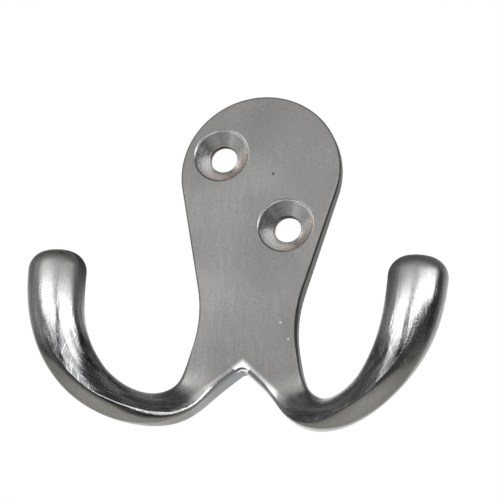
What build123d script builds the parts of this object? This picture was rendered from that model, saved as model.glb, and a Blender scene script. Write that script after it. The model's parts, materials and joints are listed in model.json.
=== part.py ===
"""Double robe hook: a flat pear-shaped wall plate that divides at its foot into two arms.

The arms leave the plate as flat strips, bend forward and outward, and rise to blunt round tips.
The hook is one casting. It is drawn as a plate and two arms that meet face to face at their roots.
X points right as seen from the front, Y points into the wall and Z points up.
The origin is the centre of the plate's round head, on the wall face.
"""

import math
import os

from build123d import *

# Plate, in millimetres and degrees, measured on the wall face
HEAD_RADIUS = 14.85
HEAD_THICKNESS = 3.3
FOOT_THICKNESS = 4.4
NECK_WIDTH = 17.8
NECK_RISE = 9.1
THROAT_RADIUS = 24.0
NOTCH_DROP = 37.6
NOTCH_SLOPE = 40.0
NOTCH_RADIUS = 1.0
SIDE_DRAFT = 1.0
EDGE_RADIUS = 0.4

# Soft front edge along the notch: its reach on the face, its depth, and how squarely it turns over
EASE_REACH = 3.0
EASE_DEPTH = 0.7
EASE_PULL = 0.8

# Screw holes, each with a countersink from the front
HOLE_RADIUS = 2.5
SINK_RADIUS = 4.9
SINK_ANGLE = 90.0
UPPER_HOLE = (-7.54, 3.06)
LOWER_HOLE = (5.56, -10.48)

# Arm root, placed along the way the arm leaves the plate and counted from the notch's apex
ROOT_SLOPE = 55.0
ROOT_LEAD = 1.0
LEAD_STEP = 1.6
LEADS_BEFORE = 2
LEADS_AFTER = 1

# Arm, measured from the notch's apex to the line through its middle
ARM_REACH = 32.1
ARM_PROJECTION = 16.6
ARM_SAG = 8.5
ARM_RISE = 17.2

# Points on that line, as shares of the reach, of the projection, and of the sag or (above 0) the rise
WAIST = (0.293, 0.163, -0.565)
LOWEST = (0.476, 0.45, -1.0)
BEND = (0.79, 0.91, -0.605)
UPRIGHT = (0.938, 1.0, 0.134)
TIP = (1.0, 0.976, 1.0)

# Arm cross-section
WAIST_WIDTH = 6.2
WAIST_DEPTH = 4.4
TIP_WIDTH = 10.4
TIP_DEPTH = 9.3
TIP_RADIUS = 3.6
CORNER_RADIUS = 0.9
WIDTH_DELAY = 1.37
DEPTH_DELAY = 1.1
ARM_STATIONS = 16
DOME_STATIONS = 6

# Ridge along the arm's front: the lean of the face above it, and the facet below it as shares of the
# arm's width and depth
FACE_LEAN = 0.8
FACET_WIDTH = 0.42
FACET_DEPTH = 0.45
FACET_PULL = 0.25

# Where along the arm, from its root to the tip's dome, these are full, fade and have become round
LEAN_FULL = 0.35
LEAN_FADE = 0.52
LEAN_END = 0.83
FACET_FULL = 0.48
RIDGE_FADE = 0.4
RIDGE_END = 0.89
ROUND_END = 0.68

# How far a cutting shape runs on past the surface that it cuts
SPARE = 0.5

FRONT = Vector(0, -1, 0)
UP = Vector(0, 0, 1)
OVAL_LONG = math.cos(math.radians(30))
OVAL_SHORT = math.sin(math.radians(30))
PLAIN_PULL = 2 / 3
DRAFT = math.tan(math.radians(SIDE_DRAFT))
FACE_SLOPE = (FOOT_THICKNESS - HEAD_THICKNESS) / NOTCH_DROP
FACE_NORMAL = Vector(0, -1, FACE_SLOPE).normalized()
LAST_LEAD = ROOT_LEAD + LEADS_AFTER * LEAD_STEP


def blend(first, last, share):
    return first + (last - first) * share


def ease(share):
    """Smooth change from 0 to 1."""
    share = min(max(share, 0.0), 1.0)
    return share * share * (3 - 2 * share)


def sloping(angle):
    """Unit vector on the wall face that points right and falls by the angle."""
    return Vector(math.cos(math.radians(angle)), 0, -math.sin(math.radians(angle)))


def flat(point):
    """Place of a point in the plate's sketch."""
    return (point.X, point.Z)


NOTCH_APEX = UP * -NOTCH_DROP
NOTCH_WAY = sloping(NOTCH_SLOPE)
ROOT_WAY = sloping(ROOT_SLOPE)
ACROSS_ROOT = sloping(ROOT_SLOPE - 90)
NECK = Vector(NECK_WIDTH / 2, 0, NECK_RISE - NOTCH_DROP)
THROAT_CENTRE = NECK + Vector(THROAT_RADIUS, 0, 0)


def thickness(height):
    """Thickness of the plate, which grows from the head to the foot."""
    return HEAD_THICKNESS - FACE_SLOPE * height


def notch_side(lead):
    """Point of the notch's right side, past the apex by a lead along the arm's root."""
    return NOTCH_APEX + NOTCH_WAY * (lead / NOTCH_WAY.dot(ROOT_WAY))


def throat_side(lead):
    """Point of the throat's arc straight across the arm's root from notch_side(lead)."""
    start = notch_side(lead)
    gap = start - THROAT_CENTRE
    middle = -gap.dot(ACROSS_ROOT)
    half_chord = math.sqrt(middle**2 - gap.dot(gap) + THROAT_RADIUS**2)
    return start + ACROSS_ROOT * (middle - half_chord)


def notch_line():
    """Both sides of the notch on the wall face, with the apex rounded."""
    right_end = notch_side(LAST_LEAD)
    left_end = Vector(-right_end.X, 0, right_end.Z)
    corners = [flat(point) for point in (right_end, NOTCH_APEX, left_end)]
    return FilletPolyline(*corners, radius=NOTCH_RADIUS)


def plate_outline():
    """Head, flanks, neck and the two lobes that run on past the arms' roots."""
    bearing = math.atan2(THROAT_CENTRE.Z, THROAT_CENTRE.X)
    opening = math.acos((HEAD_RADIUS + THROAT_RADIUS) / THROAT_CENTRE.length)
    flank_normal = sloping(-math.degrees(bearing + opening))
    flank_top = flat(flank_normal * HEAD_RADIUS)
    flank_foot = flat(THROAT_CENTRE - flank_normal * THROAT_RADIUS)
    throat_end = flat(throat_side(LAST_LEAD))
    right_half = Curve() + [
        ThreePointArc((0, HEAD_RADIUS), flat(sloping(-45) * HEAD_RADIUS), flank_top),
        Line(flank_top, flank_foot),
        ThreePointArc(flank_foot, flat(NECK), throat_end),
        Line(throat_end, flat(notch_side(LAST_LEAD))),
    ]
    return make_face((right_half + mirror(right_half, about=Plane.YZ) + notch_line()).edges())


def screw_hole(place):
    """Bore with a countersink that opens at the front face, drawn on past it."""
    flare = math.tan(math.radians(SINK_ANGLE / 2))
    face = thickness(place[1])
    half_profile = Polyline(
        (0, 0),
        (HOLE_RADIUS, 0),
        (HOLE_RADIUS, face - (SINK_RADIUS - HOLE_RADIUS) / flare),
        (SINK_RADIUS + SPARE * flare, face + SPARE),
        (0, face + SPARE),
        close=True,
    )
    axis_plane = Plane((place[0], 0, place[1]), x_dir=(1, 0, 0), z_dir=(0, 0, -1))
    return revolve(axis_plane * make_face(half_profile), Axis(axis_plane.origin, FRONT))


def root_plane(side):
    """Where the arm on one side begins, square to the way it leaves the plate."""
    across = Vector(side * ACROSS_ROOT.X, 0, ACROSS_ROOT.Z)
    way = Vector(side * ROOT_WAY.X, 0, ROOT_WAY.Z)
    return Plane(NOTCH_APEX + way * ROOT_LEAD, x_dir=across, z_dir=way)


def notch_ease():
    """What the soft front edge takes off along the notch."""
    face_plane = Plane((0, -FOOT_THICKNESS, -NOTCH_DROP), x_dir=(1, 0, 0), z_dir=FACE_NORMAL)
    line = face_plane * Pos(0, NOTCH_DROP) * notch_line()
    into_plate = FACE_NORMAL.cross(line % 0)
    inset = FOOT_THICKNESS * DRAFT
    corner = Vector(inset, 0)
    start = Vector(inset + EASE_REACH, 0)
    end = Vector((FOOT_THICKNESS - EASE_DEPTH) * DRAFT, -EASE_DEPTH)
    outer = [end, Vector(-SPARE, -EASE_DEPTH), Vector(-SPARE, SPARE), Vector(start.X, SPARE), start]
    curve = Bezier(start, blend(start, corner, EASE_PULL), blend(end, corner, EASE_PULL), end)
    profile = make_face([curve, *Polyline(*outer).edges()])
    return sweep(Plane(line @ 0, x_dir=into_plate, z_dir=line % 0) * profile, path=line)


def back_plate():
    plate = extrude(Plane.XZ * plate_outline(), FOOT_THICKNESS + SPARE, taper=SIDE_DRAFT)
    plate = split(plate, bisect_by=Plane(FRONT * HEAD_THICKNESS, z_dir=FACE_NORMAL), keep=Keep.BOTTOM)
    by_depth = plate.faces().sort_by(Axis.Y)
    plate = fillet(by_depth[0].edges() + by_depth[-1].edges(), EDGE_RADIUS)
    plate -= notch_ease()
    for place in (UPPER_HOLE, LOWER_HOLE):
        plate -= screw_hole(place)
    for side in (1, -1):
        plate = split(plate, bisect_by=root_plane(side), keep=Keep.BOTTOM)
    return plate


def quadrant(half_width, half_depth, face_cut, side_cut, pull, roundness):
    """Points of a quarter cross-section, from the middle of its face to the middle of its side.

    Without roundness it is a rectangle's quarter whose corner is cut back and rounded, the more
    squarely the more it is pulled; at 1 it is an oval's.
    """
    face_end = Vector(
        blend(half_width - face_cut, half_width * OVAL_SHORT, roundness),
        blend(half_depth, half_depth * OVAL_LONG, roundness),
    )
    side_end = Vector(
        blend(half_width, half_width * OVAL_LONG, roundness),
        blend(half_depth - side_cut, half_depth * OVAL_SHORT, roundness),
    )
    face_mid = Vector(face_end.X / 2, half_depth)
    side_mid = Vector(half_width, side_end.Y / 2)
    face_way = face_end - face_mid
    side_way = side_end - side_mid
    reach = (side_end - face_end).cross(side_way).Z / face_way.cross(side_way).Z
    corner = face_end + face_way * reach
    turn = [face_end, blend(face_end, corner, pull), blend(side_end, corner, pull), side_end]
    return [face_mid, *turn, side_mid]


def bow(first, first_pull, last_pull, last):
    """Shallow curve between two corners that leaves each along its pull."""
    return Bezier(first, blend(first, first_pull, 4 / 3), blend(last, last_pull, 4 / 3), last)


def arm_section(point, way, width, depth, ridge, others, draft=0.0, lean=0.0):
    """Cross-section of the arm at a point, square to the way it runs there.

    Its front edge on the notch's side is shaped by ridge and the other three by others. The draft
    draws its front in, and the lean raises its front on the notch's side and lowers it on the throat's.
    """
    front = (FRONT - way * FRONT.dot(way)).normalized()
    plane = Plane(point, x_dir=front.cross(way), z_dir=way)
    corners = []
    for sign_w, sign_d in ((1, 1), (1, -1), (-1, -1), (-1, 1)):
        shape = ridge if (sign_w, sign_d) == (-1, 1) else others
        placed = []
        for corner_point in quadrant(width / 2, depth / 2, *shape):
            height = corner_point.Y * sign_d + depth / 2
            aside = (corner_point.X - draft * height) * sign_w
            rise = height * (1 - lean * aside / depth) - depth / 2
            placed.append(plane.from_local_coords(Vector(aside, rise)))
        corners.append(placed if sign_w == sign_d else placed[::-1])
    edges = []
    for this, following in zip(corners, corners[1:] + corners[:1]):
        edges.append(Bezier(*this[1:5]))
        edges.append(bow(this[4], this[5], following[0], following[1]))
    return make_face(edges)


def root_middle(lead):
    """Middle of the arm's root, halfway between notch and throat and halfway into the plate."""
    middle = blend(notch_side(lead), throat_side(lead), 0.5)
    return middle + FRONT * (thickness(middle.Z) / 2)


def arm_point(reach, projection, height):
    """Point on the line through the arm's middle, from its shares of the arm's sizes."""
    height *= ARM_RISE if height > 0 else ARM_SAG
    return NOTCH_APEX + Vector(reach * ARM_REACH, -projection * ARM_PROJECTION, height)


def arm_path():
    """Line through the arm's middle, from the end of its flat root to the tip."""
    points = [arm_point(*shares) for shares in (WAIST, LOWEST, BEND, UPRIGHT, TIP)]
    path = Spline([root_middle(LAST_LEAD)] + points, tangents=(ROOT_WAY, UP), tangent_scalars=(1, 1))
    return path, path.param_at_point(points[0])


def root_sections():
    """Cross-sections of the flat root, from inside the plate to the end of its foot."""
    ridge = (EASE_REACH / NOTCH_WAY.dot(ROOT_WAY), EASE_DEPTH, EASE_PULL, 0)
    others = (EDGE_RADIUS, EDGE_RADIUS, PLAIN_PULL, 0)
    lean = FACE_SLOPE * ACROSS_ROOT.Z
    sections = []
    for step in range(-LEADS_BEFORE, LEADS_AFTER + 1):
        lead = ROOT_LEAD + step * LEAD_STEP
        width = (throat_side(lead) - notch_side(lead)).length
        middle = root_middle(lead)
        depth = thickness(middle.Z)
        sections.append(arm_section(middle, ROOT_WAY, width, depth, ridge, others, DRAFT, lean))
    return sections


def free_sections():
    """Cross-sections of the free arm, from its waist to the domed tip."""
    path, waist = arm_path()
    dome_start = 1 - TIP_RADIUS / path.length
    sections = []
    for station in range(ARM_STATIONS + 1):
        share = station / ARM_STATIONS
        at = blend(waist, dome_start, share)
        point = path.position_at(at)
        way = path.tangent_at(at)
        width = blend(WAIST_WIDTH, TIP_WIDTH, ease(share**WIDTH_DELAY))
        depth = blend(WAIST_DEPTH, TIP_DEPTH, ease(share**DEPTH_DELAY))
        run = at / dome_start
        facet = ease(run / FACET_FULL)
        facet_depth = blend(EASE_DEPTH, depth * FACET_DEPTH, facet)
        ridge_round = ease((run - RIDGE_FADE) / (RIDGE_END - RIDGE_FADE))
        ridge_pull = blend(blend(EASE_PULL, FACET_PULL, facet), PLAIN_PULL, ridge_round)
        ridge = (width * FACET_WIDTH, facet_depth, ridge_pull, ridge_round)
        others = (CORNER_RADIUS, CORNER_RADIUS, PLAIN_PULL, ease(run / ROUND_END))
        lean = FACE_LEAN * min(ease(run / LEAN_FULL), ease((LEAN_END - run) / (LEAN_END - LEAN_FADE)))
        sections.append(arm_section(point, way, width, depth, ridge, others, lean=lean))
    for station in range(1, DOME_STATIONS + 1):
        turn = math.radians(90 * station / DOME_STATIONS)
        inset = TIP_RADIUS * (1 - math.cos(turn))
        level = point + way * (TIP_RADIUS * math.sin(turn))
        sections.append(arm_section(level, way, width - 2 * inset, depth - 2 * inset, ridge, others))
    return sections


def right_hook_arm():
    arm = loft(root_sections() + free_sections())
    for plane in (root_plane(1), Plane.XZ):
        arm = split(arm, bisect_by=plane, keep=Keep.TOP)
    return arm


right_arm = right_hook_arm()
nodes = {
    "back_plate": back_plate(),
    "right_hook_arm": right_arm,
    "left_hook_arm": mirror(right_arm, about=Plane.YZ),
}
os.makedirs("parts", exist_ok=True)
for name, node in nodes.items():
    export_step(node, f"parts/{name}.step")
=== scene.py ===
"""Looks of the double robe hook: satin plated plate, belt polished arms, soft studio light."""

import json
import math
from types import SimpleNamespace

import bpy
from mathutils import Matrix, Quaternion, Vector

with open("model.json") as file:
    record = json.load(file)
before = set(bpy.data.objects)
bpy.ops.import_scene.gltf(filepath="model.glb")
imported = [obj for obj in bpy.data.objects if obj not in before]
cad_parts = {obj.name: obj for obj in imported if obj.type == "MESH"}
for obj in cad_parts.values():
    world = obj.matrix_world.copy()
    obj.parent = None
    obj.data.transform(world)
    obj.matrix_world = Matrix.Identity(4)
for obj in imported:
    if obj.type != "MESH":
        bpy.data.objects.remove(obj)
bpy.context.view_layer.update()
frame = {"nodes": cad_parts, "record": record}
scene = bpy.context.scene
nodes = frame["nodes"]

MM = 0.001


def direction(azimuth, elevation):
    """Unit vector away from the hook, from degrees; azimuth 0 is the front and 90 the right."""
    a = math.radians(azimuth)
    e = math.radians(elevation)
    return Vector((math.sin(a) * math.cos(e), -math.cos(a) * math.cos(e), math.sin(e)))


# Camera, fitted to the photograph's outline, notch and holes
IMAGE_SIDE = 500
CAMERA_AZIMUTH = 13.09
CAMERA_ELEVATION = -17.63
CAMERA_ROLL = 4.84
CAMERA_DISTANCE = 380.0 * MM
CAMERA_NEAR = 10 * MM
PIXELS_PER_METRE = 5430.0
ORIGIN_PIXEL = (263.52, 177.08)
SENSOR_WIDTH = 36.0


def make_camera():
    azimuth = math.radians(CAMERA_AZIMUTH)
    roll = math.radians(CAMERA_ROLL)
    back = direction(CAMERA_AZIMUTH, CAMERA_ELEVATION)
    level = Vector((math.cos(azimuth), math.sin(azimuth), 0))
    upward = back.cross(level)
    right = level * math.cos(roll) + upward * math.sin(roll)
    up = upward * math.cos(roll) - level * math.sin(roll)
    aside = (ORIGIN_PIXEL[0] - IMAGE_SIDE / 2) / PIXELS_PER_METRE
    above = (IMAGE_SIDE / 2 - ORIGIN_PIXEL[1]) / PIXELS_PER_METRE
    data = bpy.data.cameras.new("camera")
    data.sensor_width = SENSOR_WIDTH
    data.lens = SENSOR_WIDTH * PIXELS_PER_METRE * CAMERA_DISTANCE / IMAGE_SIDE
    data.clip_start = CAMERA_NEAR
    camera = bpy.data.objects.new("camera", data)
    pose = Matrix((right, up, back)).transposed().to_4x4()
    pose.translation = back * CAMERA_DISTANCE - right * aside - up * above
    camera.matrix_world = pose
    scene.collection.objects.link(camera)
    scene.camera = camera


make_camera()

# Shader helpers, and which sockets of a Mix node hold its share, its two values and its result
MIX_SOCKETS = {"RGBA": (0, 6, 7, 2), "VECTOR": (0, 4, 5, 1)}


class Tree:
    """Short forms for building one node tree."""

    def __init__(self, owner):
        owner.use_nodes = True
        self.tree = owner.node_tree
        self.tree.nodes.clear()

    def put(self, socket, value):
        if isinstance(value, bpy.types.NodeSocket):
            self.tree.links.new(value, socket)
        else:
            socket.default_value = value

    def node(self, kind, settings=None, **inputs):
        made = self.tree.nodes.new(kind)
        for name, value in (settings or {}).items():
            setattr(made, name, value)
        for name, value in inputs.items():
            self.put(made.inputs[name.replace("_", " ")], value)
        return made

    def math(self, operation, *values):
        made = self.node("ShaderNodeMath", {"operation": operation})
        for socket, value in zip(made.inputs, values):
            self.put(socket, value)
        return made.outputs[0]

    def minus(self, first, second):
        return self.math("SUBTRACT", first, second)

    def larger(self, first, second):
        return self.math("MAXIMUM", first, second)

    def times(self, value, *factors):
        for factor in factors:
            value = self.math("MULTIPLY", value, factor)
        return value

    def line(self, value, slope, base):
        """Base plus slope times value."""
        return self.math("MULTIPLY_ADD", value, slope, base)

    def between(self, share, first, second):
        """First where the share is 0, second where it is 1."""
        return self.line(share, self.minus(second, first), first)

    def length(self, first, second):
        """Distance spanned by two sides at right angles."""
        return self.math("SQRT", self.line(first, first, self.times(second, second)))

    def step(self, value, start, end):
        """Smooth change from 0 at start to 1 at end."""
        made = self.node("ShaderNodeMapRange", {"interpolation_type": "SMOOTHSTEP"}, Value=value)
        self.put(made.inputs["From Min"], start)
        self.put(made.inputs["From Max"], end)
        return made.outputs[0]

    def span(self, value, low, high, start=0.0, end=1.0):
        """Value from start to end brought to low to high."""
        made = self.node("ShaderNodeMapRange", Value=value)
        for name, number in (("From Min", start), ("From Max", end), ("To Min", low), ("To Max", high)):
            self.put(made.inputs[name], number)
        return made.outputs[0]

    def noise(self, vector, size, detail, roughness=0.5):
        made = self.node(
            "ShaderNodeTexNoise", Vector=vector, Scale=1 / size, Detail=detail, Roughness=roughness
        )
        return made.outputs["Fac"]

    def streaks(self, axes, sizes, detail):
        """Noise with its own size along each of three axes."""
        scaled = [self.times(axis, 1 / size) for axis, size in zip(axes, sizes)]
        return self.noise(self.combine(*scaled), 1.0, detail)

    def combine(self, x, y, z):
        return self.node("ShaderNodeCombineXYZ", X=x, Y=y, Z=z).outputs[0]

    def scale(self, vector, factor):
        made = self.node("ShaderNodeVectorMath", {"operation": "SCALE"}, Vector=vector, Scale=factor)
        return made.outputs[0]

    def mix(self, share, first, second, kind="RGBA"):
        """Mix of two colours or, with kind VECTOR, of two directions."""
        made = self.node("ShaderNodeMix", {"data_type": kind})
        *places, result = MIX_SOCKETS[kind]
        for place, value in zip(places, (share, first, second)):
            self.put(made.inputs[place], value)
        return made.outputs[result]

    def bump(self, height, distance, normal=None):
        made = self.node("ShaderNodeBump", Height=height, Distance=distance)
        if normal is not None:
            self.put(made.inputs["Normal"], normal)
        return made.outputs[0]

    def join(self, share, first, second):
        """Mix of two shaders."""
        made = self.node("ShaderNodeMixShader", Fac=share)
        self.put(made.inputs[1], first.outputs[0])
        self.put(made.inputs[2], second.outputs[0])
        return made


# Places on the hook
HOLES = [mount["pos_m"] for mount in frame["record"]["mounts"] if mount["kind"] == "bore"]
SINK_RADIUS = 4.9 * MM
BORE_RADIUS = 2.5 * MM
RIM_WIDTH = 0.4 * MM
APEX_HEIGHT = -37.6 * MM
HEAD_THICKNESS = 3.3 * MM
FOOT_THICKNESS = 4.4 * MM
FACE_SLOPE = (FOOT_THICKNESS - HEAD_THICKNESS) / -APEX_HEIGHT
ROOT_SLOPE = math.radians(55)
NOTCH_SLOPE = math.radians(40)
BEND_ASIDE = 15.5 * MM
BEND_HEIGHT = -31.0 * MM
BEND_RADIUS = 15.1 * MM
ARM_FORWARD = 14.6 * MM
THROAT_HEIGHT = -30 * MM
DARK_SPOTS = ((2.51, -3.3, -0.57), (-30.57, -19.73, -21.55))
# Pale specks; the one on the left arm is a nick whose glint is painted
PALE_SPECKS_AND_GLINT = ((6.2, -4.15, -28.92), (7.88, -4.2, -32.01), (-20.55, -15.29, -45.23))

# Where each mask is 0 and where it is 1: distances
ARM_START = (5 * MM, 14 * MM)
ARM_SWEEP = (6 * MM, 30 * MM)
# Band along the notch edge: wear, and a painted highlight
NOTCH_WEAR_AND_HIGHLIGHT = (1.7 * MM, 0.6 * MM)
OFF_WALL = (-0.05 * MM, -0.2 * MM)
SINK_EDGE = (SINK_RADIUS + 0.02 * MM, SINK_RADIUS - 0.1 * MM)
RIM_EDGE = (SINK_RADIUS + RIM_WIDTH, SINK_RADIUS + 0.1 * MM)
BORE_EDGE = (BORE_RADIUS + 0.12 * MM, BORE_RADIUS + 0.04 * MM)
COPPER_SIDE = (0.5 * MM, 5 * MM)
THROAT_REACH = (9 * MM, 1 * MM)
# Painted dark reflection on the side walls: depth of its edge, and where it ends along the arm
WALL_PAINTED_DARK_EDGE = (0.3 * MM, -0.1 * MM)
WALL_PAINTED_DARK_END = (8 * MM, 3 * MM)
ROOT_START = (6 * MM, 11 * MM)
ROOT_END = (28 * MM, 18 * MM)

# Where each mask is 0 and where it is 1: parts of the surface's direction, and turns
OFF_FRONT = (-0.7, -0.4)
OFF_BOTTOM = (-0.75, -0.45)
UNDERSIDE = (-0.1, -0.55)
# Painted dark reflection in the bends: the faces it covers, and its outer and inner turns
BEND_PAINTED_DARK_FACING = (-0.46, -0.34)
BEND_PAINTED_DARK_OUTER = (math.radians(80), math.radians(60))
BEND_PAINTED_DARK_INNER = (math.radians(-60), math.radians(-10))
WEDGE_EDGE = (math.radians(28), math.radians(6))

# Sizes of the patterns; a detail is the noise's number of finer layers
FINE_DETAIL = 3.0
MEDIUM_DETAIL = 2.0
SMOOTH_DETAIL = 1.0
FINE_STREAK = (0.3 * MM, 0.3 * MM, 4 * MM)
COARSE_STREAK = (0.9 * MM, 0.9 * MM, 9 * MM)
SCRATCH_SIZE = (0.22 * MM, 0.5 * MM, 4 * MM)
ARM_PATTERN_SHIFT = 200 * MM
GRAIN_SIZE = 0.28 * MM
GRAIN_ROUGHNESS = 0.7
PATCH_SIZE = 6 * MM
SHEEN_SIZE = 15 * MM
WAVE_SIZE = 5 * MM
RING_STEP = 0.42 * MM
RING_NOISE_SIZE = 0.15 * MM
DARK_SPOT_RADIUS = 0.38 * MM
PALE_SPOT_RADIUS = 0.28 * MM
SPOT_CORE = 0.4
# Reach of the painted dark reflection on the side walls
WALL_PAINTED_DARK_REACH = 0.85 * MM
WALL_PAINTED_DARK_IN_THROAT = 1.3 * MM
WALL_PAINTED_DARK_WANDER = 0.8 * MM

# Parts of a noise's range that are used
NOISE_MIDDLE = 0.5
NOISE_RANGE = (0.3, 0.7)
GRAIN_RANGE = (0.25, 0.75)
SCRATCH_RANGE = (0.54, 0.68)

# Colours and shades
SATIN = (0.255, 0.252, 0.247, 1)
METAL = (0.60, 0.60, 0.607, 1)
# Painted reflection: warmer grey for the arms' undersides
UNDERSIDE_PAINTED_OLIVE = (0.58, 0.57, 0.545, 1)
# Colour of the painted dark reflection in the bends
BEND_PAINTED_DARK_COLOUR = (0.09, 0.09, 0.095, 1)
MACHINED = (0.80, 0.79, 0.78, 1)
COPPER = (0.82, 0.74, 0.68, 1)
# Colour of the painted dark reflection on the side walls
WALL_PAINTED_DARK_COLOUR = (0.055, 0.055, 0.06, 1)
# Dark brown: painted shade in the bores, and the colour of the dark specks
BROWN = (0.10, 0.075, 0.06, 1)
PALE = (0.55, 0.55, 0.54, 1)
# Notch wall painted lighter: painted light
NOTCH_WALL_PAINTED_LIGHT = (0.80, 0.82, 0.85, 1)
GRAIN_SHADE = (0.80, 1.20)
# Painted sheen on the plate: broad random patches, and lighter towards the foot
SHEEN_SHADE = (0.84, 1.16)
FOOT_PAINTED_SHEEN = (1.1, 1.0)
FOOT_RANGE = (-38 * MM, -10 * MM)
DARK_STREAK = (0.70, 0.90)
BRIGHT_STREAK = (1.25, 1.1)
# Streaks and scratches in the bends' painted dark reflection
BEND_PAINTED_DARK_STREAK = (1.1, 0.5)
BEND_PAINTED_DARK_SCRATCHED = (0.9, 0.3)
# Painted light and shade round the countersinks, by bearing and mottled by the rings
CONE_PAINTED_SHADE_LEVEL = 0.85
CONE_PAINTED_SHADE_RIGHT = 0.3
CONE_PAINTED_SHADE_UP = 0.45
CONE_PAINTED_SHADE_RINGS = 0.5
WEDGE_PAINTED_SHADE = -0.55

# Gloss
PLATE_ROUGH = (0.43, 0.51)
ARM_ROUGH = (0.09, 0.21)
SINK_ROUGH = (0.2, 0.3)
WORN_ROUGH = 0.25
# Roughness of the painted dark band on the side walls
WALL_PAINTED_DARK_ROUGH = 0.6
SPECULAR = (0.5, 0.05)

# Relief
WAVE_HEIGHT = 0.08 * MM
COARSE_HEIGHT = 0.04 * MM
FINE_HEIGHT = 0.02 * MM
PLATE_HEIGHT = 0.002 * MM
GRAIN_HEIGHT = 0.002 * MM
ROOT_GRAIN = 9.0
RIM_DROP = 0.5 * RIM_WIDTH
RING_SLOPE = 0.18
RING_NOISE_HEIGHT = 0.012 * MM
SINK_TILT = 0.27


def locate(t):
    """Where a point lies and faces, how far along the arm's root it is, and its place in the bend."""
    at = SimpleNamespace(place=t.node("ShaderNodeTexCoord").outputs["Object"])
    at.x, at.y, at.z = t.node("ShaderNodeSeparateXYZ", Vector=at.place).outputs
    facing = t.node("ShaderNodeNewGeometry").outputs["Normal"]
    _, at.backward, at.upward = t.node("ShaderNodeSeparateXYZ", Vector=facing).outputs

    aside = t.math("ABSOLUTE", at.x)
    fall = t.minus(APEX_HEIGHT, at.z)
    at.lead = t.line(aside, math.cos(ROOT_SLOPE), t.times(fall, math.sin(ROOT_SLOPE)))
    at.on_arm = t.step(at.lead, *ARM_START)
    over_notch = t.line(aside, math.sin(NOTCH_SLOPE), t.times(fall, -math.cos(NOTCH_SLOPE)))
    # Band along the notch edge, partly wear and partly a painted highlight
    at.worn = t.step(over_notch, *NOTCH_WEAR_AND_HIGHLIGHT)

    out = t.minus(aside, BEND_ASIDE)
    rise = t.minus(at.z, BEND_HEIGHT)
    below = t.math("MINIMUM", rise, 0.0)
    at.across = t.length(out, below)
    at.turn = t.math("ARCTAN2", out, t.times(below, -1.0))
    along = t.line(at.turn, BEND_RADIUS, t.larger(rise, 0.0))
    at.along = t.line(t.math("SIGN", at.x), ARM_PATTERN_SHIFT, along)
    at.forward = t.line(t.step(aside, *ARM_SWEEP), ARM_FORWARD, at.y)
    return at


def make_patterns(t, at):
    """Streaks, upright on the plate and lengthwise on the arms, with grain and patches all over."""
    upright = (at.x, at.y, at.z)
    lengthwise = (at.across, at.forward, at.along)
    return SimpleNamespace(
        plate_fine=t.streaks(upright, FINE_STREAK, FINE_DETAIL),
        arm_fine=t.streaks(lengthwise, FINE_STREAK, FINE_DETAIL),
        arm_coarse=t.streaks(lengthwise, COARSE_STREAK, MEDIUM_DETAIL),
        grain=t.noise(at.place, GRAIN_SIZE, FINE_DETAIL, GRAIN_ROUGHNESS),
        patches=t.noise(at.place, PATCH_SIZE, MEDIUM_DETAIL),
    )


def find_holes(t, at):
    """Place beside the nearest hole, and masks of its countersink, rolled rim and bore."""
    offsets = [(t.minus(at.x, x), t.minus(at.z, z)) for x, _, z in HOLES]
    right_of, above = offsets[0]
    nearest = t.length(right_of, above)
    for aside, up in offsets[1:]:
        distance = t.length(aside, up)
        closer = t.math("LESS_THAN", distance, nearest)
        right_of = t.between(closer, right_of, aside)
        above = t.between(closer, above, up)
        nearest = t.math("MINIMUM", distance, nearest)

    hole = SimpleNamespace(nearest=nearest, right_of=right_of, above=above)
    hole.off_wall = t.step(at.y, *OFF_WALL)
    hole.sink = t.times(t.step(nearest, *SINK_EDGE), hole.off_wall)
    hole.rim = t.times(t.step(nearest, *RIM_EDGE), hole.off_wall)
    hole.bare = t.larger(hole.sink, hole.rim)
    hole.bore = t.step(nearest, *BORE_EDGE)
    outward = t.combine(t.times(nearest, 1 / RING_NOISE_SIZE), 0.0, 0.0)
    hole.ring_noise = t.noise(outward, 1.0, MEDIUM_DETAIL)
    return hole


def side_wall_painted_dark(t, at, pattern, hole):
    """Painted dark reflection on the side walls next to the front edge, deepest in the throats."""
    depth = t.line(at.z, -FACE_SLOPE, t.math("ADD", at.y, HEAD_THICKNESS))
    throat = t.step(t.math("ABSOLUTE", t.minus(at.z, THROAT_HEIGHT)), *THROAT_REACH)
    reach = t.line(throat, WALL_PAINTED_DARK_IN_THROAT, WALL_PAINTED_DARK_REACH)
    reach = t.line(t.minus(pattern.patches, NOISE_MIDDLE), WALL_PAINTED_DARK_WANDER, reach)
    return t.times(
        t.step(t.minus(depth, reach), *WALL_PAINTED_DARK_EDGE),
        t.step(at.backward, *OFF_FRONT),
        t.step(at.upward, *OFF_BOTTOM),
        t.step(at.lead, *WALL_PAINTED_DARK_END),
        t.minus(1.0, t.larger(hole.sink, hole.bore)),
    )


def bend_painted_dark(t, at, pattern):
    """Painted dark reflection in the bends, on faces that don't point down, with bright scratches slanting
    across it.
    """
    slanting = (t.math("ADD", at.across, at.along), at.forward, t.minus(at.along, at.across))
    scratches = t.step(t.streaks(slanting, SCRATCH_SIZE, FINE_DETAIL), *SCRATCH_RANGE)
    return t.times(
        t.step(at.turn, *BEND_PAINTED_DARK_OUTER),
        at.on_arm,
        t.step(at.turn, *BEND_PAINTED_DARK_INNER),
        t.step(at.upward, *BEND_PAINTED_DARK_FACING),
        t.span(pattern.arm_coarse, *BEND_PAINTED_DARK_STREAK, *NOISE_RANGE),
        t.span(scratches, *BEND_PAINTED_DARK_SCRATCHED),
    )


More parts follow.
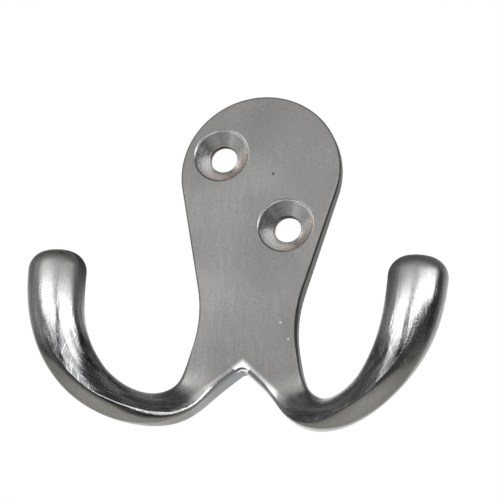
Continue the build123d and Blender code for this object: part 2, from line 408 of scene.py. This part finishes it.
def spots(t, at, centres, radius):
    """Small round marks with soft edges, at centres in millimetres."""
    shown = 0.0
    for centre in centres:
        gap = t.node("ShaderNodeVectorMath", {"operation": "DISTANCE"}, Vector=at.place)
        gap.inputs[1].default_value = [value * MM for value in centre]
        shown = t.larger(shown, t.step(gap.outputs["Value"], radius, SPOT_CORE * radius))
    return shown


def cone_painted_shade_colour(t, hole):
    """Bare metal with painted light and shade by bearing round the hole: brighter at the upper right, with
    a painted dull wedge on top.
    """
    bearing = t.math("ARCTAN2", hole.right_of, hole.above)
    cone_painted_shade = t.line(t.math("SINE", bearing), CONE_PAINTED_SHADE_RIGHT, CONE_PAINTED_SHADE_LEVEL)
    cone_painted_shade = t.line(t.math("COSINE", bearing), CONE_PAINTED_SHADE_UP, cone_painted_shade)
    wedge = t.step(t.math("ABSOLUTE", bearing), *WEDGE_EDGE)
    cone_painted_shade = t.line(wedge, WEDGE_PAINTED_SHADE, cone_painted_shade)
    cone_painted_shade = t.line(t.minus(hole.ring_noise, NOISE_MIDDLE), CONE_PAINTED_SHADE_RINGS, cone_painted_shade)
    lower_right = t.step(t.minus(hole.right_of, hole.above), *COPPER_SIDE)
    return t.scale(t.mix(lower_right, MACHINED, COPPER), cone_painted_shade)


def metal_colour(t, at, pattern, hole, wall_painted_dark):
    """Grey satin plate with painted sheen, a notch edge with wear and a painted highlight, streaked arms
    with painted reflections, bare cones with painted shade, bores painted dark as shade, painted dark side
    walls, and small spots, one a painted glint.
    """
    under = t.step(at.upward, *UNDERSIDE)
    grain_shade = t.span(pattern.grain, *GRAIN_SHADE, *GRAIN_RANGE)
    # Painted sheen: broad patches and a gradient lighter towards the foot stand in for the plate's
    # reflections
    sheen = t.noise(at.place, SHEEN_SIZE, SMOOTH_DETAIL)
    sheen_shade = t.span(sheen, *SHEEN_SHADE, *NOISE_RANGE)
    foot_painted_sheen = t.span(at.z, *FOOT_PAINTED_SHEEN, *FOOT_RANGE)
    satin = t.scale(SATIN[:3], t.times(grain_shade, sheen_shade, foot_painted_sheen))
    # Notch edge band: wear brightened into a painted highlight on the front, and a notch wall painted
    # lighter below
    plate = t.mix(at.worn, satin, t.mix(under, METAL, NOTCH_WALL_PAINTED_LIGHT))

    # Painted dark reflection in the bends of the arms
    # Painted reflection: the arms' undersides get a warmer grey
    arm = t.mix(bend_painted_dark(t, at, pattern), t.mix(under, METAL, UNDERSIDE_PAINTED_OLIVE), BEND_PAINTED_DARK_COLOUR)
    streak_limits = (t.span(under, *DARK_STREAK), t.span(under, *BRIGHT_STREAK))
    streak_shade = t.span(pattern.arm_fine, *streak_limits, *NOISE_RANGE)
    arm = t.scale(arm, t.times(streak_shade, grain_shade))

    colour = t.mix(at.on_arm, plate, arm)
    # Countersinks' bare metal, with painted light and shade
    colour = t.mix(hole.bare, colour, cone_painted_shade_colour(t, hole))
    # Bores painted dark: painted shade in the recess
    colour = t.mix(hole.bore, colour, BROWN)
    # Side walls painted dark: a painted dark reflection
    colour = t.mix(wall_painted_dark, colour, WALL_PAINTED_DARK_COLOUR)
    colour = t.mix(spots(t, at, DARK_SPOTS, DARK_SPOT_RADIUS), colour, BROWN)
    # Pale specks, and a painted glint at the nick on the left arm
    return t.mix(spots(t, at, PALE_SPECKS_AND_GLINT, PALE_SPOT_RADIUS), colour, PALE)


def metal_roughness(t, at, pattern, hole, wall_painted_dark):
    """Dull plate, glossy streaked arms, and turned cones between the two."""
    plate = t.span(pattern.plate_fine, *PLATE_ROUGH, *NOISE_RANGE)
    arm = t.span(pattern.arm_fine, *ARM_ROUGH, *NOISE_RANGE)
    cone = t.span(hole.ring_noise, *SINK_ROUGH, *NOISE_RANGE)
    rough = t.between(at.on_arm, t.between(at.worn, plate, WORN_ROUGH), arm)
    rough = t.between(hole.bare, rough, cone)
    return t.between(wall_painted_dark, rough, WALL_PAINTED_DARK_ROUGH)


def turned_rings(t, hole):
    """Saw-toothed rings that the cutter leaves in a cone, leaning a little to one side."""
    rings = t.math("FRACT", t.times(hole.nearest, 1 / RING_STEP))
    turned = t.times(rings, -RING_SLOPE * RING_STEP)
    turned = t.line(hole.ring_noise, RING_NOISE_HEIGHT, turned)
    turned = t.line(hole.right_of, -SINK_TILT, turned)
    return t.bump(turned, 1.0)


def metal_relief(t, at, pattern, hole):
    """Waves left by the belt, streaks, grain that is coarser at the arms' roots, rolled rims and rings."""
    waves = t.noise(at.place, WAVE_SIZE, SMOOTH_DETAIL)
    off_sink = t.minus(1.0, hole.sink)
    off_arm = t.times(t.minus(1.0, at.on_arm), off_sink)
    root = t.times(t.step(at.lead, *ROOT_START), t.step(at.lead, *ROOT_END))
    roll = t.span(hole.nearest, 1.0, 0.0, SINK_RADIUS, SINK_RADIUS + RIM_WIDTH)
    layers = (
        (t.times(waves, at.on_arm), WAVE_HEIGHT),
        (t.times(pattern.arm_coarse, at.on_arm), COARSE_HEIGHT),
        (t.times(pattern.arm_fine, at.on_arm), FINE_HEIGHT),
        (t.times(pattern.plate_fine, off_arm), PLATE_HEIGHT),
        (t.times(pattern.grain, t.line(root, ROOT_GRAIN, off_sink)), GRAIN_HEIGHT),
        (t.times(roll, roll, -RIM_DROP / MM, hole.off_wall), MM),
    )
    normal = None
    for height, distance in layers:
        normal = t.bump(height, distance, normal)
    return t.mix(hole.sink, normal, turned_rings(t, hole), kind="VECTOR")


def plated_metal():
    material = bpy.data.materials.new("plated_metal")
    t = Tree(material)
    at = locate(t)
    pattern = make_patterns(t, at)
    hole = find_holes(t, at)
    # Painted dark reflection on the side walls
    wall_painted_dark = side_wall_painted_dark(t, at, pattern, hole)
    shader = t.node(
        "ShaderNodeBsdfPrincipled",
        Base_Color=metal_colour(t, at, pattern, hole, wall_painted_dark),
        Metallic=t.minus(1.0, wall_painted_dark),
        Roughness=metal_roughness(t, at, pattern, hole, wall_painted_dark),
        Specular_IOR_Level=t.span(wall_painted_dark, *SPECULAR),
        Normal=metal_relief(t, at, pattern, hole),
    )
    t.node("ShaderNodeOutputMaterial", Surface=shader.outputs[0])
    return material


metal = plated_metal()
for name in ("back_plate", "left_hook_arm", "right_hook_arm"):
    nodes[name].data.materials.clear()
    nodes[name].data.materials.append(metal)

# Studio: white world, pale floor, glowing cloth surround and two softboxes
WHITE = (1, 1, 1, 1)
WORLD_SEEN = 1.0
WORLD_LIGHT = 0.85
FLOOR_REACH = 6.0
FLOOR_HEIGHT = -0.3
FLOOR_COLOUR = (0.8, 0.8, 0.78, 1)
FLOOR_ROUGHNESS = 0.9
FLOOR_LIFT_COLOUR = (0.86, 0.86, 0.85, 1)
FLOOR_LIFT = 0.6
BOX_DISTANCE = 0.28

# Surround, in degrees; its levels are pairs of azimuth and brightness
SURROUND_RADIUS = 1.6
SURROUND_STEP = 5
SURROUND_FOOT = -15
BACKDROP = (180 + CAMERA_AZIMUTH, -CAMERA_ELEVATION)
BACKDROP_SPREAD = 18
LOW_LEVELS = (
    (-180, 0.70),
    (-150, 0.75),
    (-122, 0.30),
    (-100, 0.20),
    (-75, 0.36),
    (-57, 0.22),
    (-45, 0.10),
    (0, 0.10),
    (45, 0.07),
    (70, 0.04),
    (85, 0.03),
    (112, 0.08),
    (132, 0.55),
    (152, 0.70),
    (180, 0.70),
)
HIGH_LEVELS = (
    (-180, 0.45),
    (-125, 0.22),
    (-100, 0.12),
    (-75, 0.24),
    (-36, 0.60),
    (0, 0.88),
    (20, 0.76),
    (55, 0.22),
    (85, 0.08),
    (125, 0.20),
    (165, 0.50),
    (180, 0.45),
)
OVERHEAD = (0.12, 0.12, 0.12, 1)
HIGH_START = (24, 38)
OVERHEAD_START = (58, 78)


def make_world():
    """World that is white to the camera and in reflections, and a little softer as light."""
    world = bpy.data.worlds.new("studio")
    scene.world = world
    t = Tree(world)
    path = t.node("ShaderNodeLightPath").outputs
    seen = t.larger(path["Is Camera Ray"], path["Is Glossy Ray"])
    seen = t.larger(seen, path["Is Transmission Ray"])
    soft = t.node("ShaderNodeBackground", Color=WHITE, Strength=WORLD_LIGHT)
    white = t.node("ShaderNodeBackground", Color=WHITE, Strength=WORLD_SEEN)
    t.node("ShaderNodeOutputWorld", Surface=t.join(seen, soft, white).outputs[0])


def mesh_object(name, verts, faces, material):
    mesh = bpy.data.meshes.new(name)
    mesh.from_pydata(verts, [], faces)
    mesh.materials.append(material)
    made = bpy.data.objects.new(name, mesh)
    scene.collection.objects.link(made)
    return made


def floor_material():
    """Pale matt floor that keeps its shadows, lifted for the camera, and clear when seen from below."""
    material = bpy.data.materials.new("pale_floor")
    t = Tree(material)
    lit = t.node("ShaderNodeBsdfPrincipled", Base_Color=FLOOR_COLOUR, Roughness=FLOOR_ROUGHNESS)
    seen = t.node("ShaderNodeLightPath").outputs["Is Camera Ray"]
    lift = t.node("ShaderNodeEmission", Color=FLOOR_LIFT_COLOUR, Strength=t.times(seen, FLOOR_LIFT))
    pale = t.node("ShaderNodeAddShader")
    t.put(pale.inputs[0], lit.outputs[0])
    t.put(pale.inputs[1], lift.outputs[0])
    clear = t.node("ShaderNodeBsdfTransparent")
    from_below = t.node("ShaderNodeNewGeometry").outputs["Backfacing"]
    t.node("ShaderNodeOutputMaterial", Surface=t.join(from_below, pale, clear).outputs[0])
    return material


def make_floor():
    corners = [
        (-FLOOR_REACH, -FLOOR_REACH, FLOOR_HEIGHT),
        (FLOOR_REACH, -FLOOR_REACH, FLOOR_HEIGHT),
        (FLOOR_REACH, FLOOR_REACH, FLOOR_HEIGHT),
        (-FLOOR_REACH, FLOOR_REACH, FLOOR_HEIGHT),
    ]
    floor = mesh_object("floor", corners, [(0, 1, 2, 3)], floor_material())


def glow_material():
    """Cloth that glows softly: brightness by azimuth, near eye level and higher up, and overhead."""
    material = bpy.data.materials.new("surround_cloth")
    t = Tree(material)
    place = t.node("ShaderNodeTexCoord").outputs["Object"]
    x, y, z = t.node("ShaderNodeSeparateXYZ", Vector=place).outputs
    azimuth = t.math("ARCTAN2", x, t.times(y, -1.0))
    share = t.span(azimuth, 0.0, 1.0, -math.pi, math.pi)

    def ring(levels):
        ramp = t.node("ShaderNodeValToRGB", Fac=share)
        stops = ramp.color_ramp.elements
        while len(stops) < len(levels):
            stops.new(0.5)
        for stop, (angle, level) in zip(stops, levels):
            stop.position = angle / 360 + 0.5
            stop.color = (level, level, level, 1)
        return ramp.outputs[0]

    def above(elevations):
        heights = [SURROUND_RADIUS * math.sin(math.radians(angle)) for angle in elevations]
        return t.step(z, *heights)

    colour = t.mix(above(HIGH_START), ring(LOW_LEVELS), ring(HIGH_LEVELS))
    colour = t.mix(above(OVERHEAD_START), colour, OVERHEAD)
    glow = t.node("ShaderNodeEmission", Color=colour, Strength=1.0)
    t.node("ShaderNodeOutputMaterial", Surface=glow.outputs[0])
    return material


def make_surround():
    """Cloth round the set, out of the camera's sight, with a window on the white backdrop."""
    azimuths = range(-180, 181, SURROUND_STEP)
    elevations = range(SURROUND_FOOT, 91, SURROUND_STEP)
    verts = [direction(a, e) * SURROUND_RADIUS for e in elevations for a in azimuths]
    faces = []
    across = len(azimuths)
    for i, elevation in enumerate(elevations[:-1]):
        for j, azimuth in enumerate(azimuths[:-1]):
            middle = direction(azimuth + SURROUND_STEP / 2, elevation + SURROUND_STEP / 2)
            if middle.angle(direction(*BACKDROP)) >= math.radians(BACKDROP_SPREAD):
                first = i * across + j
                faces.append((first, first + 1, first + across + 1, first + across))
    surround = mesh_object("surround", verts, faces, glow_material())
    surround.visible_camera = False


def softbox(name, azimuth, elevation, width, height, roll, radiance):
    """Rectangular light facing the hook, with its place, size and roll in degrees."""
    data = bpy.data.lights.new(name, "AREA")
    data.shape = "RECTANGLE"
    data.size = 2 * BOX_DISTANCE * math.tan(math.radians(width / 2))
    data.size_y = 2 * BOX_DISTANCE * math.tan(math.radians(height / 2))
    data.energy = radiance * math.pi * data.size * data.size_y
    lamp = bpy.data.objects.new(name, data)
    way = direction(azimuth, elevation)
    lamp.location = way * BOX_DISTANCE
    lamp.rotation_mode = "QUATERNION"
    lamp.rotation_quaternion = way.to_track_quat("Z", "Y") @ Quaternion((0, 0, 1), math.radians(roll))
    lamp.visible_camera = False
    scene.collection.objects.link(lamp)


make_world()
make_floor()
make_surround()
softbox("left_softbox", azimuth=-27, elevation=13, width=46, height=31, roll=-4, radiance=2.2)
softbox("right_softbox", azimuth=39, elevation=13, width=60, height=24, roll=8, radiance=2.9)

scene.view_settings.view_transform = "Standard"
